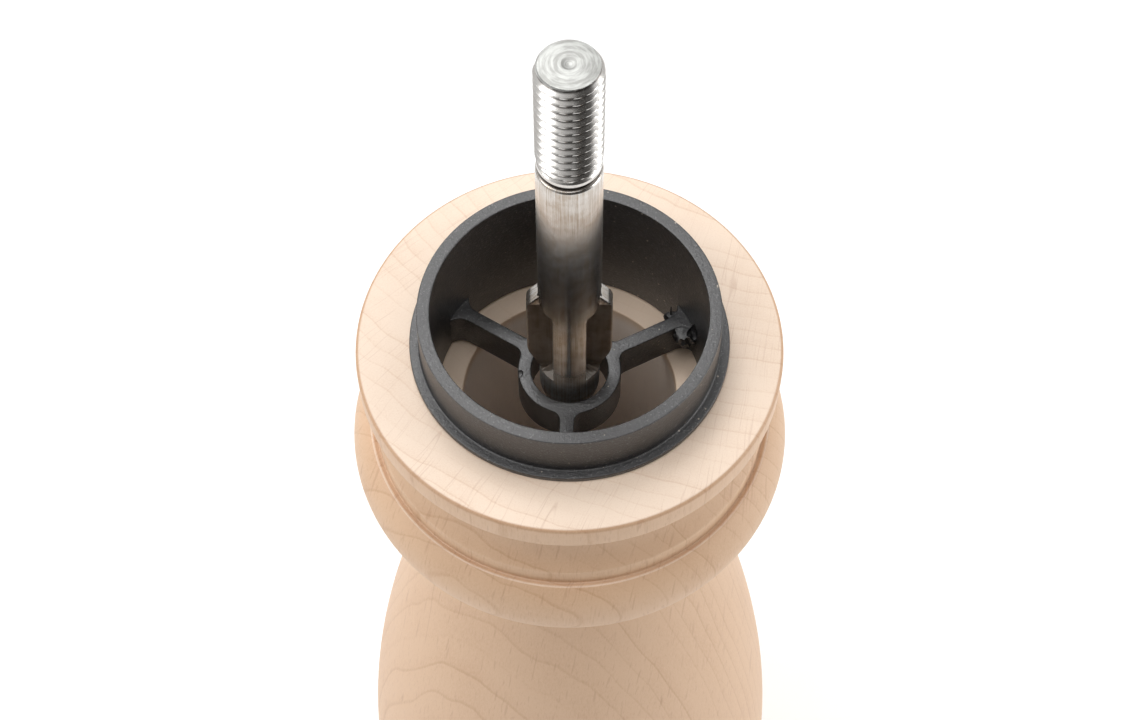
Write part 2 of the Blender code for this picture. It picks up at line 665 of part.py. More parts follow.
def burr_housing(finish):
    """A sleeve that holds the outer burr and carries the bearing on a three-armed bridge."""
    outline = [
        (HOUSING_BORE, BURR_MOUTH),
        (CLAMP_RADIUS, BURR_MOUTH),
        (CLAMP_RADIUS, HOUSING_FLANGE_TOP),
        (HOUSING_RADIUS, HOUSING_FLANGE_TOP),
        (HOUSING_RADIUS, HOUSING_TOP),
        (HOUSING_BORE, HOUSING_TOP),
        (HOUSING_BORE, FUNNEL_TOP),
        (HOUSING_BORE - SEAT_WIDTH, SEAT_HEIGHT),
        (HOUSING_BORE, SEAT_HEIGHT),
    ]
    housing = add_object("burr_housing", turned(outline, LARGE_STEPS), finish)
    flat = spoked_hub(BRIDGE_HUB_RADIUS, BRIDGE_ARM, HOUSING_BORE, BRIDGE_ARM / 2, BRIDGE_ANGLES)
    combine(housing, helper("bridge_arms", extruded(flat, BRIDGE_BOTTOM, BRIDGE_TOP)), "UNION")
    bore = extruded(circle(BEARING_RADIUS + FIT, SMALL_STEPS), BRIDGE_BOTTOM - MM, BRIDGE_TOP + MM)
    combine(housing, helper("bridge_bore", bore), "DIFFERENCE")
    combine(housing, screw_hole_cutters("housing_holes", CLAMP_TOP, RECESS_TOP), "DIFFERENCE")


def shaft_bearing(finish):
    outline = [
        (BEARING_BORE, BRIDGE_BOTTOM),
        (BEARING_RADIUS, BRIDGE_BOTTOM),
        (BEARING_RADIUS, BRIDGE_TOP + FIT),
        (BRIDGE_HUB_RADIUS, BRIDGE_TOP + FIT),
        (BRIDGE_HUB_RADIUS, BEARING_FLANGE_TOP),
        (BEARING_BORE, BEARING_FLANGE_TOP),
    ]
    add_object("shaft_bearing", turned(outline, SMALL_STEPS), finish)


def washer(name, radius, bore_radius, bottom, finish, parent=None):
    edit = turned_ring(bore_radius, radius, bottom, bottom + WASHER_THICKNESS)
    add_object(name, edit, finish, parent)


def shaft_clip(finish, parent):
    inner = SPINDLE_RADIUS - CLIP_GROOVE + FIT
    outline = open_ring(inner, inner + CLIP_WIDTH, CLIP_OPENING_DEG, 16)
    add_object("shaft_clip", extruded(outline, CLIP_BOTTOM, CLIP_TOP), finish, parent)


def lock_washer(finish, parent):
    inner = BURR_SEAT_RADIUS + FIT
    outline = open_ring(inner, inner + LOCK_WASHER_WIDTH, LOCK_WASHER_SPLIT_DEG, 18)
    edit = extruded(outline, LOCK_WASHER_BOTTOM, LOCK_WASHER_BOTTOM + WASHER_THICKNESS)
    add_object("lock_washer", edit, finish, parent)


def burr_nut(finish, parent):
    top = NUT_BOTTOM + NUT_HEIGHT
    blank = extruded(hexagon(BURR_SEAT_RADIUS + NUT_WALL), NUT_BOTTOM, top)
    nut = add_object("burr_nut", blank, finish, parent)
    bore = extruded(circle(BURR_SEAT_RADIUS + FIT, SMALL_STEPS), NUT_BOTTOM - MM, top + MM)
    combine(nut, helper("nut_bore", bore, parent), "DIFFERENCE")


def burr_spring(finish):
    """A round-wire coil from the thrust washer up to the spring seat."""
    edit = bmesh.new()
    travel = SPRING_LENGTH - 2 * SPRING_WIRE
    count = int(SPRING_TURNS * SPRING_STEPS)
    rings = []
    for i in range(count + 1):
        turn = 2 * math.pi * SPRING_TURNS * i / count
        outward = Vector((math.cos(turn), math.sin(turn), 0.0))
        middle = outward * SPRING_RADIUS
        middle.z = SPRING_BOTTOM + SPRING_WIRE + travel * i / count
        ring = []
        for side in range(SPRING_SIDES):
            angle = 2 * math.pi * side / SPRING_SIDES
            offset = outward * math.cos(angle) + Vector((0, 0, math.sin(angle)))
            ring.append(edit.verts.new(middle + offset * SPRING_WIRE))
        rings.append(ring)
    for first, second in zip(rings, rings[1:]):
        for side in range(SPRING_SIDES):
            edit.faces.new((first[side - 1], first[side], second[side], second[side - 1]))
    edit.faces.new(rings[0])
    edit.faces.new(rings[-1])
    add_object("burr_spring", edit, finish)


def clamp_ring(finish):
    inner = BURR_RADIUS + CLAMP_LIP
    ring = turned_ring(inner, CLAMP_RADIUS, CLAMP_SET_BACK, CLAMP_TOP, LARGE_STEPS)
    ring = add_object("clamp_ring", ring, finish)
    combine(ring, screw_hole_cutters("clamp_holes", CLAMP_SET_BACK - MM, CLAMP_TOP + MM), "DIFFERENCE")


def clamp_screws(finish):
    head_top = CLAMP_SET_BACK - FIT
    head_bottom = head_top - SCREW_HEAD_HEIGHT
    end = head_top + SCREW_LENGTH
    outline = [
        (0.0, head_bottom + SCREW_HEAD_HEIGHT / 2),
        (SCREW_DRIVE_RADIUS, head_bottom + SCREW_HEAD_HEIGHT / 2),
        (SCREW_DRIVE_RADIUS, head_bottom),
        (SCREW_HEAD_RADIUS - SCREW_HEAD_HEIGHT / 2, head_bottom),
        (SCREW_HEAD_RADIUS, head_bottom + SCREW_HEAD_HEIGHT / 2),
        (SCREW_HEAD_RADIUS, head_top),
        (SCREW_RADIUS, head_top),
        (SCREW_RADIUS, end - SCREW_POINT),
        (0.0, end),
    ]
    for number, (x, y) in enumerate(screw_centres(), start=1):
        screw = add_object(f"clamp_screw_{number}", turned(outline, 12), finish)
        screw.location = (x, y, 0.0)


def main():
    clear_scene()
    beech = material("beech", (0.78, 0.58, 0.42), 0.5)
    black_plastic = material("black_plastic", (0.03, 0.03, 0.033), 0.5)
    steel = material("stainless_steel", (0.62, 0.61, 0.6), 0.2, 1.0)
    burr_steel = material("hardened_steel", (0.4, 0.4, 0.4), 0.35, 1.0)
    brass = material("brass", (0.75, 0.55, 0.25), 0.3, 1.0)
    carrier_plastic = material("grey_plastic", (0.2, 0.2, 0.21), 0.45)

    wood_body(beech)
    top_bush(black_plastic)
    burr_housing(black_plastic)
    shaft_bearing(brass)
    outer_burr(burr_steel)
    burr_spring(steel)
    clamp_ring(steel)
    clamp_screws(steel)
    spindle_hole = SPINDLE_RADIUS + FIT
    washer("spring_seat", SPRING_WASHER_RADIUS, spindle_hole, SPRING_SEAT_BOTTOM, steel)
    washer("stop_washer", spindle_hole + WASHER_WIDTH, spindle_hole, STOP_BOTTOM, steel)

    lift = axis_empty("grind_adjust", THRUST_BOTTOM)
    washer("thrust_washer", SPRING_WASHER_RADIUS, spindle_hole, THRUST_BOTTOM, brass, lift)

    spin = axis_empty("shaft_axis", THRUST_BOTTOM, lift)
    drive_shaft(steel, spin)
    shaft_clip(steel, spin)
    burr_carrier(carrier_plastic, spin)
    inner_burr(burr_steel, spin)
    seat_hole = BURR_SEAT_RADIUS + FIT
    washer("burr_washer", seat_hole + BURR_WASHER_WIDTH, seat_hole, BURR_WASHER_BOTTOM, steel, spin)
    lock_washer(steel, spin)
    burr_nut(brass, spin)


main()
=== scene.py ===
import json
import math

import bmesh
import bpy
from mathutils import Matrix, Vector, noise


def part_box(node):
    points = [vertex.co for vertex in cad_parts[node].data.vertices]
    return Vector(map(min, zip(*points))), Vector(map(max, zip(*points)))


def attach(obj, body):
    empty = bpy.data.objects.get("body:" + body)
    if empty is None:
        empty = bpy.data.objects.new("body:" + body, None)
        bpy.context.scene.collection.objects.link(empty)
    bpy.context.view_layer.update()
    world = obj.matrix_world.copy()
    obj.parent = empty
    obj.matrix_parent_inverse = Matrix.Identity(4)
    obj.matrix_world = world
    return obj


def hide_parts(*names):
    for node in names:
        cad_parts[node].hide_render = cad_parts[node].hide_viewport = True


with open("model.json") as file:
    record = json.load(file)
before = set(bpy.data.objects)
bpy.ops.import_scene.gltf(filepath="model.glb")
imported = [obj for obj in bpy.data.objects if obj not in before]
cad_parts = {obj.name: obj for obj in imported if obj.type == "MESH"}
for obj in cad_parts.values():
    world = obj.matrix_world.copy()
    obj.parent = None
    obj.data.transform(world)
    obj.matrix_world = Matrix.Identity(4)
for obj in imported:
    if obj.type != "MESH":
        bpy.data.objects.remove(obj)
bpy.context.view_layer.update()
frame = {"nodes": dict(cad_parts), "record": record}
nodes = frame["nodes"]
mm = 0.001
print("frame:", len(nodes), "nodes loaded")


# sizes come from the frame, in millimetres


def spanOf(node):
    low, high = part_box(node)
    return low / mm, high / mm


woodLow, woodHigh = spanOf("wood_body")
bushLow, bushHigh = spanOf("top_bush")
shaftLow, shaftHigh = spanOf("drive_shaft")
housingLow, housingHigh = spanOf("burr_housing")
rimTop = woodHigh.z
flangeRadius = bushHigh.x


# outlines are lists of (radius, height) or (x, y)


def arcPoints(centre, radius, startDeg, endDeg, steps):
    angles = [math.radians(startDeg + (endDeg - startDeg) * i / steps) for i in range(steps + 1)]
    return [(centre[0] + radius * math.cos(a), centre[1] + radius * math.sin(a)) for a in angles]


def turnedBy(points, angleDeg):
    cos = math.cos(math.radians(angleDeg))
    sin = math.sin(math.radians(angleDeg))
    return [(x * cos - y * sin, x * sin + y * cos) for x, y in points]


def softened(outline, reach, steps=4):
    # rounds every sharp corner of a closed outline
    points = []
    for i, corner in enumerate(outline):
        here = Vector(corner)
        before = Vector(outline[i - 1]) - here
        after = Vector(outline[(i + 1) % len(outline)]) - here
        if before.length < 1e-6 or after.length < 1e-6 or before.angle(-after) < math.radians(24):
            points.append(corner)
            continue
        start = here + before.normalized() * min(reach, before.length * 0.45)
        end = here + after.normalized() * min(reach, after.length * 0.45)
        for k in range(steps + 1):
            t = k / steps
            point = start * (1 - t) ** 2 + here * 2 * t * (1 - t) + end * t**2
            points.append((point.x, point.y))
    return points


# meshes are made in millimetres, then scaled to the frame's metres


def madePiece(name, edit, smoothDeg=32):
    bmesh.ops.remove_doubles(edit, verts=edit.verts, dist=0.0005)
    bmesh.ops.recalc_face_normals(edit, faces=edit.faces)
    bmesh.ops.scale(edit, verts=edit.verts, vec=(mm, mm, mm))
    mesh = bpy.data.meshes.new(name)
    edit.to_mesh(mesh)
    edit.free()
    return placed(name, mesh, smoothDeg)


def placed(name, mesh, smoothDeg=32):
    mesh.shade_smooth()
    mesh.set_sharp_from_angle(angle=math.radians(smoothDeg))
    piece = bpy.data.objects.new(name, mesh)
    bpy.context.collection.objects.link(piece)
    return piece


def skinned(rings, closed):
    # joins rings of points with quads; open ends get a face each
    edit = bmesh.new()
    grid = [[edit.verts.new(point) for point in ring] for ring in rings]
    pairs = list(zip(grid, grid[1:]))
    if closed:
        pairs.append((grid[-1], grid[0]))
    for low, high in pairs:
        for i in range(len(low)):
            edit.faces.new((low[i - 1], low[i], high[i], high[i - 1]))
    if not closed:
        edit.faces.new(grid[0])
        edit.faces.new(grid[-1])
    return edit


def lathed(outline, steps):
    angles = [2 * math.pi * i / steps for i in range(steps)]
    rings = [[(r * math.cos(a), r * math.sin(a), z) for a in angles] for r, z in outline]
    return skinned(rings, True)


def cutOrJoined(piece, other, operation):
    step = piece.modifiers.new(other.name, "BOOLEAN")
    step.object = other
    step.operation = operation
    step.solver = "EXACT"


def settled(piece, smoothDeg=32):
    # applies the modifiers and removes the helper pieces that they used
    used = [step.object for step in piece.modifiers if step.type == "BOOLEAN"]
    depsgraph = bpy.context.evaluated_depsgraph_get()
    solved = bpy.data.meshes.new_from_object(piece.evaluated_get(depsgraph))
    name = piece.name
    for old in used + [piece]:
        bpy.data.objects.remove(old, do_unlink=True)
    solved.name = name
    return placed(name, solved, smoothDeg)


class Wire:
    # a socket that takes part in sums
    def __init__(self, graph, socket):
        self.graph = graph
        self.socket = socket

    def __add__(self, other):
        return self.graph.math("ADD", self, other)

    def __radd__(self, other):
        return self.graph.math("ADD", other, self)

    def __sub__(self, other):
        return self.graph.math("SUBTRACT", self, other)

    def __rsub__(self, other):
        return self.graph.math("SUBTRACT", other, self)

    def __mul__(self, other):
        return self.graph.math("MULTIPLY", self, other)

    def __rmul__(self, other):
        return self.graph.math("MULTIPLY", other, self)

    def __truediv__(self, other):
        return self.graph.math("DIVIDE", self, other)

    def __rtruediv__(self, other):
        return self.graph.math("DIVIDE", other, self)

    def __pow__(self, other):
        return self.graph.math("POWER", self, other)

    def __abs__(self):
        return self.graph.math("ABSOLUTE", self)


class Graph:
    def __init__(self, tree):
        self.tree = tree

    def node(self, kind, settings=None, values=None, output=0):
        made = self.tree.nodes.new(kind)
        for name, value in (settings or {}).items():
            setattr(made, name, value)
        for key, value in (values or {}).items():
            self.feed(made.inputs[key], value)
        return Wire(self, made.outputs[output])

    def feed(self, socket, value):
        if isinstance(value, Wire):
            self.tree.links.new(value.socket, socket)
        else:
            socket.default_value = value

    def math(self, operation, *values):
        return self.node("ShaderNodeMath", {"operation": operation}, dict(enumerate(values)))

    def mix(self, share, first, second, kind="MIX"):
        settings = {"data_type": "RGBA", "blend_type": kind}
        return self.node("ShaderNodeMix", settings, {0: share, 6: first, 7: second}, 2)

    def ease(self, value, low, high):
        # 0 at low, 1 at high, smooth between
        settings = {"interpolation_type": "SMOOTHSTEP"}
        values = {"Value": value, "From Min": low, "From Max": high}
        return self.node("ShaderNodeMapRange", settings, values)

    def vector(self, x, y, z):
        return self.node("ShaderNodeCombineXYZ", values={0: x, 1: y, 2: z})

    def split(self, vector):
        return [self.node("ShaderNodeSeparateXYZ", values={0: vector}, output=i) for i in range(3)]

    def place(self):
        # the point on the piece, in millimetres
        point = self.node("ShaderNodeTexCoord", output="Object")
        return self.node("ShaderNodeVectorMath", {"operation": "SCALE"}, {0: point, "Scale": 1 / mm})

    def noise(self, vector, scale=1.0, detail=2.0, roughness=0.5):
        values = {"Vector": vector, "Scale": scale, "Detail": detail}
        values["Roughness"] = roughness
        return self.node("ShaderNodeTexNoise", values=values)

    def bump(self, height, depth):
        return self.node("ShaderNodeBump", values={"Height": height, "Distance": depth * mm})


class Finish(Graph):
    # a material with its principled shader
    def __init__(self, name, **sockets):
        self.material = bpy.data.materials.new(name)
        self.material.use_nodes = True
        super().__init__(self.material.node_tree)
        self.shader = self.tree.nodes["Principled BSDF"]
        for key, value in sockets.items():
            self.surface(key.replace("_", " "), value)

    def surface(self, name, value):
        self.feed(self.shader.inputs[name], value)


def tone(red, green, blue):
    # an everyday 0-255 colour made linear
    parts = [c / 255 for c in (red, green, blue)]
    return (*[c / 12.92 if c < 0.04 else ((c + 0.055) / 1.055) ** 2.4 for c in parts], 1.0)


bodyValues = {
    "steps": 288,
    "rimLand": 7.1,
    "rimBand": 4.05,
    "edgeRound": 0.6,
    "socketGap": 0.3,
    "flangeOverhang": 1.3,
    "coveWall": 4.2,
    "coveDrop": 8.4,
    "covePower": 2.2,
    "beadWall": 6.7,
    "beadDrop": 14.6,
    "creaseDepth": 0.5,
    "bulgeTube": 7.0,
    "bulgeProud": 2.1,
    "bulgeDrop": 22.4,
    "bulgeTopDeg": 52.0,
    "neckWall": 4.1,
    "neckFillet": 3.6,
    "neckDrop": 43.0,
    "throatBore": 14.5,
    "hopperBore": 20.0,
    "hopperDrop": 65.0,
    "hopperCone": 6.0,
    "bellyDrop": 134.0,
    "bellyPower": 1.9,
    "footHeight": 7.0,
    "footGroove": 1.2,
    "baseRound": 1.6,
    "ledgeDrop": 13.1,
    "housingFlange": 5.2,
    "housingFlangeHeight": 2.4,
    "softReach": 0.3,
}


def bellPoints(neck, belly, power, steps):
    points = []
    for i in range(steps + 1):
        share = (1 - i / steps) ** 1.5
        widened = 1 - (1 - share) ** power
        radius = neck[0] + (belly[0] - neck[0]) * widened
        points.append((radius, neck[1] + (belly[1] - neck[1]) * share))
    return points


def covePoints(low, deep, high, power, steps):
    points = []
    for i in range(2 * steps + 1):
        share = i / steps - 1
        end = low if share < 0 else high
        depth = abs(share) ** power
        radius = deep[0] + (end[0] - deep[0]) * depth
        points.append((radius, deep[1] + (end[1] - deep[1]) * abs(share)))
    return points


def bodyOutline():
    v = bodyValues
    spigotRadius = flangeRadius - v["flangeOverhang"]
    socketRadius = spigotRadius + v["socketGap"]
    rimRadius = flangeRadius + v["rimLand"]
    bellyRadius = woodHigh.x
    neckRadius = v["throatBore"] + v["neckWall"]
    beadRadius = socketRadius + v["beadWall"]
    bulge = (rimRadius + v["bulgeProud"] - v["bulgeTube"], rimTop - v["bulgeDrop"])
    edge = v["edgeRound"]
    points = arcPoints((bellyRadius - v["baseRound"], v["baseRound"]), v["baseRound"], -90, 0, 8)
    points += arcPoints((bellyRadius, v["footHeight"]), v["footGroove"], -90, -270, 14)
    belly = (bellyRadius, rimTop - v["bellyDrop"])
    points += bellPoints((neckRadius, rimTop - v["neckDrop"]), belly, v["bellyPower"], 44)
    fillet = (neckRadius + v["neckFillet"], bulge[1] - v["bulgeTube"] - v["neckFillet"])
    points += arcPoints(fillet, v["neckFillet"], 180, 90, 10)
    points += arcPoints(bulge, v["bulgeTube"], -90, v["bulgeTopDeg"], 40)
    points.append((beadRadius, points[-1][1] - v["creaseDepth"]))
    low = (beadRadius, rimTop - v["beadDrop"])
    deep = (socketRadius + v["coveWall"], rimTop - v["coveDrop"])
    high = (rimRadius - edge, rimTop - v["rimBand"])
    points += covePoints(low, deep, high, v["covePower"], 16)
    points += arcPoints((rimRadius - edge, rimTop - v["rimBand"] + edge), edge, -60, 0, 4)
    points += arcPoints((rimRadius - edge, rimTop - edge), edge, 0, 90, 6)
    ledge = rimTop - v["ledgeDrop"]
    coneTop = rimTop - v["hopperDrop"]
    chamberTop = housingHigh.z + v["socketGap"]
    chamberRadius = housingHigh.x - v["housingFlange"] + v["socketGap"]
    recessTop = housingLow.z + v["housingFlangeHeight"] + v["socketGap"]
    recessRadius = housingHigh.x + v["socketGap"]
    points += [(socketRadius, rimTop), (socketRadius, ledge), (v["throatBore"], ledge)]
    points += [(v["throatBore"], coneTop), (v["hopperBore"], coneTop - v["hopperCone"])]
    points += [(v["hopperBore"], chamberTop), (chamberRadius, chamberTop)]
    points += [(chamberRadius, recessTop), (recessRadius, recessTop), (recessRadius, woodLow.z)]
    return softened(points, v["softReach"], 3)


beechValues = {
    "pith": (34.0, 58.0),          # the tree's centre, seen from the shaft
    "ringPitch": 2.2,
    "ringWaver": 1.4,
    "sidePale": tone(218, 184, 152),
    "sideDeep": tone(198, 159, 124),
    # the end tones are set paler than the side tones, as painted top light
    "endPale": tone(233, 212, 192),
    "endDeep": tone(216, 187, 162),
    "rayTone": tone(164, 112, 80),
    "arrisTone": tone(158, 114, 82),
    "poreTone": tone(176, 134, 102),
    # painted light: the bore's paler tones, the deep one near white
    "boreLitTone": tone(232, 208, 184),
    "boreDeepLitTone": tone(250, 243, 236),
}


def beechFinish():
    v = beechValues
    g = Finish("beech", IOR=1.5)
    x, y, z = g.split(g.place())
    waver = g.noise(g.vector(x * 0.045, y * 0.045, z * 0.009), detail=3) - 0.5
    waver2 = g.noise(g.vector(x * 0.12, y * 0.12, z * 0.02 + 7.0), detail=2) - 0.5
    px = x - v["pith"][0]
    py = y - v["pith"][1]
    fromPith = (px * px + py * py) ** 0.5 + waver * (4 * v["ringWaver"]) + waver2 * 0.7
    # how far round the pith, as a length across the rays
    across = g.math("ARCTAN2", py, px) * 62.0 + waver * 3.0
    facing = g.split(g.node("ShaderNodeTexCoord", output="Normal"))[2]
    endGrainAndTopLight = g.ease(abs(facing), 0.84, 0.98)
    ring = g.math("FRACT", fromPith / v["ringPitch"])
    lateWood = g.ease(ring, 0.84, 0.94) * (1 - g.ease(ring, 0.95, 1.0))
    growth = g.ease(ring, 0.2, 0.9)
    yearly = g.noise(g.vector(fromPith * 0.35, 3.0, 5.0), detail=1)
    cloud = g.noise(g.vector(x * 0.1, y * 0.1, z * 0.03), detail=3)
    fibre = g.noise(g.vector(x * 5.0, y * 5.0, z * 0.22), detail=3, roughness=0.6)

    # the end-grain tones are paler than the side tones: painted light on the upward faces
    pale = g.mix(endGrainAndTopLight, v["sidePale"], v["endPale"])
    deep = g.mix(endGrainAndTopLight, v["sideDeep"], v["endDeep"])
    seasons = (lateWood * 0.26 + growth * 0.12) * g.ease(yearly, 0.3, 0.62)
    grain = g.noise(g.vector(x * 4.2, y * 4.2, z * 0.8 + 3.0), detail=2, roughness=0.7)
    texture = cloud * 0.5 + (fibre - 0.5) * 0.42 + (grain - 0.5) * 0.55
    depth = g.ease(seasons + texture, 0.1, 0.95)
    colour = g.mix(depth, pale, deep)

    # rays: thin plates that run out from the pith and stand on end
    # on the sides they show as upright ticks, on the end grain as fine straight lines
    tick = g.noise(g.vector(across * 5.2, fromPith * 0.09, z * 0.5), detail=1)
    boldTick = g.noise(g.vector(across * 3.4, fromPith * 0.05, z * 0.24 + 5.0), detail=0)
    ticks = g.ease(tick, 0.6, 0.76) * 0.18 + g.ease(boldTick, 0.72, 0.82) * 0.22
    line = g.noise(g.vector(across * 0.5, fromPith * 0.018, z * 0.17), detail=0)
    breaks = g.noise(g.vector(across * 1.1, fromPith * 0.1, z * 0.35 + 11.0), detail=1)
    lines = (1 - g.ease(abs(line - 0.5), 0.0, 0.009)) * g.ease(breaks, 0.45, 0.62) * 0.2
    lines = lines + g.ease(tick, 0.58, 0.76) * 0.2
    rays = ticks + (lines - ticks) * endGrainAndTopLight
    colour = g.mix(rays, colour, v["rayTone"])

    # pores: dots on the end grain, short strokes along the sides
    pore = g.noise(g.vector(x * 9.0, y * 9.0, z * 0.9), detail=1)
    pores = g.ease(pore, 0.62, 0.78)
    colour = g.mix(pores * (0.22 + endGrainAndTopLight * 0.14), colour, v["poreTone"])

    # the rim's upper arris is painted a thin darker tan line, patchy with the fibre
    radius = (x * x + y * y) ** 0.5
    rim = flangeRadius + bodyValues["rimLand"]
    arris = g.ease(radius, rim - 0.55, rim - 0.25) * g.ease(z, rimTop - 0.55, rimTop - 0.2)
    colour = g.mix(arris * (0.25 + fibre * 0.35), colour, v["arrisTone"])
    # the bored inside is painted paler than the outside, and near white lowest down, as painted
    # light on the dim bore
    # beside the throat the limit is tighter, because the neck outside is narrower than the hopper
    throatLow = rimTop - bodyValues["hopperDrop"]
    throatHigh = rimTop - bodyValues["ledgeDrop"] - 2.0
    besideThroat = g.ease(z, throatLow, throatLow + 1.0)
    besideThroat = besideThroat * (1 - g.ease(z, throatHigh, throatHigh + 1.0))
    reach = radius + besideThroat * (bodyValues["hopperBore"] - bodyValues["throatBore"] - 2.0)
    hopperLimit = bodyValues["hopperBore"] + 0.15
    inside = 1 - g.ease(reach, hopperLimit, hopperLimit + 0.3)
    inside = inside * (1 - g.ease(z, rimTop - 1.5, rimTop - 0.5))
    boreLitColour = g.mix(g.ease(z, rimTop - 16.0, rimTop - 12.9), v["boreDeepLitTone"], v["boreLitTone"])
    colour = g.mix(inside * 0.7, colour, boreLitColour)
    g.surface("Base Color", colour)
    g.surface("Roughness", 0.42 + fibre * 0.16 - rays * 0.1)
    turning = g.noise(g.vector(0.0, 0.0, z * 3.2), detail=2)
    height = fibre * 0.5 - pores * 0.5 - rays * 0.4 + turning * 0.25
    g.surface("Normal", g.bump(height, 0.02))
    return g.material


def woodBody(finish):
    v = bodyValues
    body = madePiece("turned_body", lathed(bodyOutline(), v["steps"]), 30)
    body.data.materials.append(finish)
    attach(body, "body")
    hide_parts("wood_body")
    print("wood: body turned,", len(body.data.polygons), "faces")


bushValues = {
    "steps": 240,
    "bore": 17.9,
    "wall": 1.7,
    "flangeThickness": 0.8,
    "edge": 0.1,
    "softReach": 0.16,
    "hubWall": 1.75,
    "hubGap": 1.15,
    "spokeHeight": 5.7,
    "spokeWidth": 1.9,
    "spokeAngles": (-92.5, 27.5, 147.5),
    "hubFillet": 1.5,
    "gusset": 2.2,
    "spokeEdge": 0.16,
    "lumpAt": (15.9, 6.3),
    "webAt": (14.5, 8.6),
    "spikeAt": (13.7, 8.8),
    "gateAt": (16.7, 5.7),
    "tearAt": (16.4, 4.6),
    "hubNickAt": (-6.6, -0.9),
}


def spokedOutline(hubRadius, width, reach, gusset, fillet, angles):
    across = width / 2 + fillet
    centre = (math.sqrt((hubRadius + fillet) ** 2 - across**2), across)
    footDeg = math.degrees(math.atan2(centre[1], centre[0]))
    side = arcPoints(centre, fillet, footDeg - 180, -90, 8)
    side += arcPoints((reach - gusset, width / 2 + gusset), gusset, -90, 0, 8)
    side.append((reach + 0.8, width / 2 + gusset + 0.05))
    outline = []
    for angle in angles:
        outline += turnedBy([(u, -w) for u, w in side] + side[::-1], angle)
        nextDeg = angle + 360 / len(angles)
        outline += arcPoints((0, 0), hubRadius, angle + footDeg, nextDeg - footDeg, 28)[1:-1]
    return outline


def flatPlate(name, outlines, bottom, top, edge):
    # a plate between two heights from closed outlines, holes included, with rounded edges
    curve = bpy.data.curves.new(name, "CURVE")
    curve.dimensions = "2D"
    curve.fill_mode = "BOTH"
    for outline in outlines:
        spline = curve.splines.new("POLY")
        spline.points.add(len(outline) - 1)
        for point, (x, y) in zip(spline.points, outline):
            point.co = (x, y, 0, 1)
        spline.use_cyclic_u = True
    curve.bevel_depth = edge
    curve.bevel_resolution = 2
    curve.offset = -edge
    curve.extrude = (top - bottom) / 2 - edge
    drawn = bpy.data.objects.new(name, curve)
    bpy.context.collection.objects.link(drawn)
    bpy.context.view_layer.update()
    mesh = bpy.data.meshes.new_from_object(drawn)
    bpy.data.objects.remove(drawn, do_unlink=True)
    edit = bmesh.new()
    edit.from_mesh(mesh)
    bmesh.ops.translate(edit, verts=edit.verts, vec=(0, 0, (bottom + top) / 2))
    bmesh.ops.remove_doubles(edit, verts=edit.verts, dist=0.002)
    return edit


def raggedBlob(radius, stretch, seed, lid=9.0):
    # an uneven lump, cut off flat above its lid
    edit = bmesh.new()
    bmesh.ops.create_icosphere(edit, subdivisions=3, radius=radius)
    for vert in edit.verts:
        shift = noise.noise(vert.co * 1.6 + Vector((seed, 0, 0))) * 0.55
        vert.co *= 1 + shift
        height = min(lid, vert.co.z * stretch[2])
        vert.co = Vector((vert.co.x * stretch[0], vert.co.y * stretch[1], height))
    return edit


def fillBush(finish):
    v = bushValues
    bore = v["bore"]
    spigot = bore + v["wall"]
    low = bushLow.z
    top = bushHigh.z
    flangeBottom = rimTop + 0.02
    flangeTop = rimTop + v["flangeThickness"]
    outline = [
        (bore, low),
        (spigot, low),
        (spigot, flangeBottom),
        (flangeRadius, flangeBottom),
        (flangeRadius, flangeTop),
        (spigot + 0.12, flangeTop),
        (spigot, flangeTop + 0.2),
        (spigot, top - v["edge"]),
        (spigot - v["edge"], top),
        (bore + v["edge"], top),
        (bore, top - v["edge"]),
    ]
    bush = madePiece("fill_bush", lathed(softened(outline, v["softReach"]), v["steps"]))
    hubBore = shaftHigh.y + v["hubGap"]
    hubRadius = hubBore + v["hubWall"]
    sizes = (hubRadius, v["spokeWidth"], bore, v["gusset"], v["hubFillet"])
    star = spokedOutline(*sizes, v["spokeAngles"])
    hole = arcPoints((0, 0), hubBore, 0, 360, 96)[:-1]
    spokeBottom = low + 0.1
    spokeTop = low + v["spokeHeight"]
    plate = flatPlate("spider", [star, hole], spokeBottom, spokeTop, v["spokeEdge"])
    spider = madePiece("bush_spider", plate)
    cutOrJoined(bush, spider, "UNION")
    # the moulding's faults: a lump with a torn gate, its flash, and a nick in the hub
    faults = [
        ("gate_lump", raggedBlob(1.6, (0.95, 1.1, 1.3), 3.0, 1.3), v["lumpAt"], -1.4, "UNION"),
        ("gate_web", raggedBlob(0.9, (1.5, 0.9, 1.4), 7.0, 0.8), v["webAt"], -0.9, "UNION"),
        ("gate_spike", raggedBlob(0.4, (0.5, 0.5, 3.4), 2.0), v["spikeAt"], 0.0, "UNION"),
        ("gate_pit", raggedBlob(0.85, (1.0, 1.15, 1.5), 4.0), v["gateAt"], 0.1, "DIFFERENCE"),
        ("gate_tear", raggedBlob(0.55, (1.2, 1.0, 1.6), 9.0), v["tearAt"], -1.2, "DIFFERENCE"),
        ("hub_nick", raggedBlob(0.45, (0.9, 1.3, 1.0), 6.0), v["hubNickAt"], 0.1, "DIFFERENCE"),
    ]
    for name, blob, (x, y), rise, operation in faults:
        bmesh.ops.translate(blob, verts=blob.verts, vec=(x, y, spokeTop + rise))
        cutOrJoined(bush, madePiece(name, blob), operation)
    bush = settled(bush)
    bush.data.materials.clear()
    bush.data.materials.append(finish)
    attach(bush, "body")
    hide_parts("top_bush")
    print("bush: moulded,", len(bush.data.polygons), "faces")


